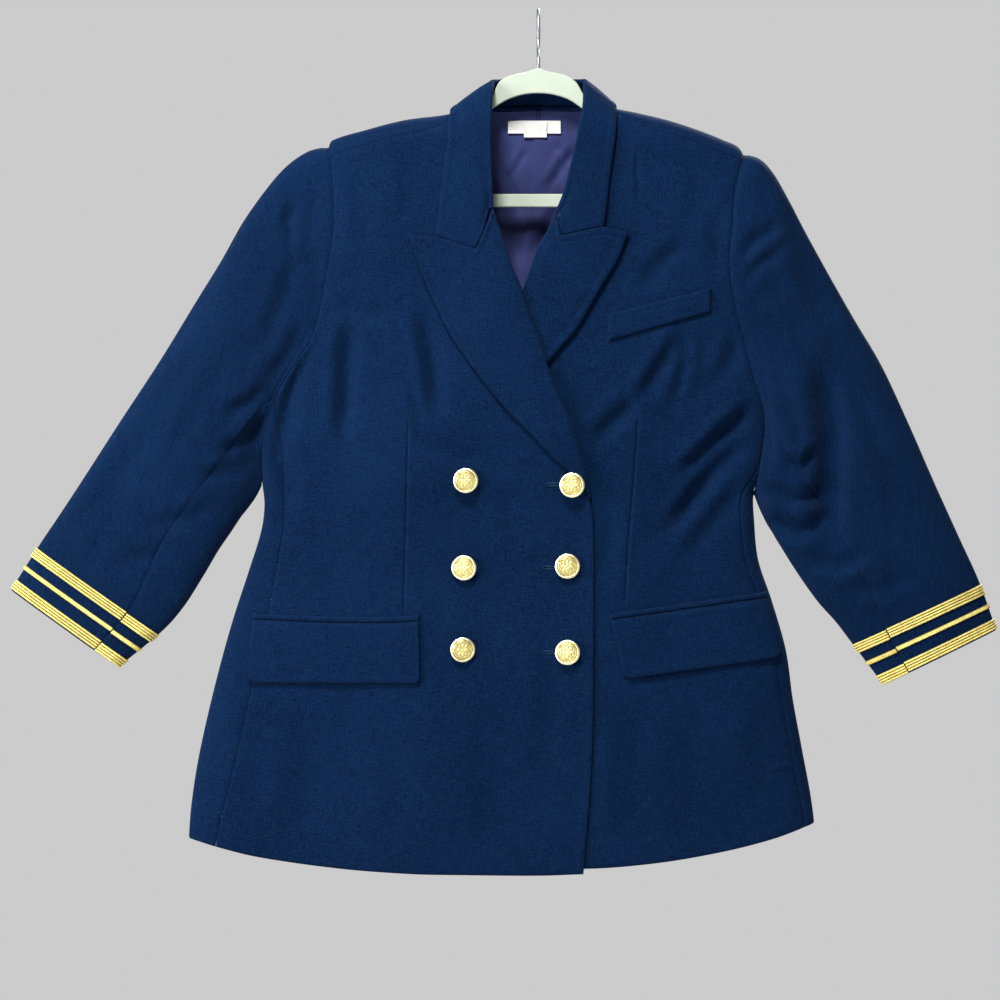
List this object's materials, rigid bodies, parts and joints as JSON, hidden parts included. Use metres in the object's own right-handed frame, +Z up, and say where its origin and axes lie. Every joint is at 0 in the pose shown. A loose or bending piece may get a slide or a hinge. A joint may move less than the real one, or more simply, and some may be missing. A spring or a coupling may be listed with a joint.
{
  "type": "double-breasted blazer on a hanger",
  "caption": "Double-breasted blazer with wide peak lapels, flap pockets, shank buttons and corded braid round its cuffs, hung on a flat flocked hanger with a wire hook.",
  "frame": {"origin": "inside top of the hanger's hook, where the rail bears", "axes": "+X to the right as the front is seen, +Y from the front to the back, +Z up"},
  "size_m": [0.9656, 0.0658, 0.8469],
  "materials": {
    "navy_weave": "matt plain weave",
    "lining": "soft satin",
    "label": "plain woven",
    "gold_braid": "corded braid with a low sheen",
    "gold_metal": "pale gold, satin",
    "flocking": "flocked velvet",
    "chrome": "polished"
  },
  "bodies": {
    "root": {"front_overlap": "navy_weave", "front_underlap": "navy_weave", "back_left": "navy_weave", "back_right": "navy_weave", "side_panel_left": "navy_weave", "side_panel_right": "navy_weave", "lapel_left": "navy_weave", "lapel_right": "navy_weave", "upper_sleeve_left": "navy_weave", "upper_sleeve_right": "navy_weave", "under_sleeve_left": "navy_weave", "under_sleeve_right": "navy_weave", "pocket_flap_left": "navy_weave", "pocket_flap_right": "navy_weave", "pocket_jet_left": "navy_weave", "pocket_jet_right": "navy_weave", "collar": "navy_weave", "breast_welt": "navy_weave", "cuff_braid_top_upper_left": "gold_braid", "cuff_braid_top_upper_right": "gold_braid", "cuff_braid_top_under_left": "gold_braid", "cuff_braid_top_under_right": "gold_braid", "cuff_braid_middle_upper_left": "gold_braid", "cuff_braid_middle_upper_right": "gold_braid", "cuff_braid_middle_under_left": "gold_braid", "cuff_braid_middle_under_right": "gold_braid", "cuff_braid_edge_upper_left": "gold_braid", "cuff_braid_edge_upper_right": "gold_braid", "cuff_braid_edge_under_left": "gold_braid", "cuff_braid_edge_under_right": "gold_braid", "button_1": "gold_metal", "button_2": "gold_metal", "button_3": "gold_metal", "button_4": "gold_metal", "button_5": "gold_metal", "button_6": "gold_metal", "lining_back": "lining", "neck_label": "label", "size_tab": "label", "hanger": "flocking", "hanger_hook": "chrome"}
  },
  "joints": []
}
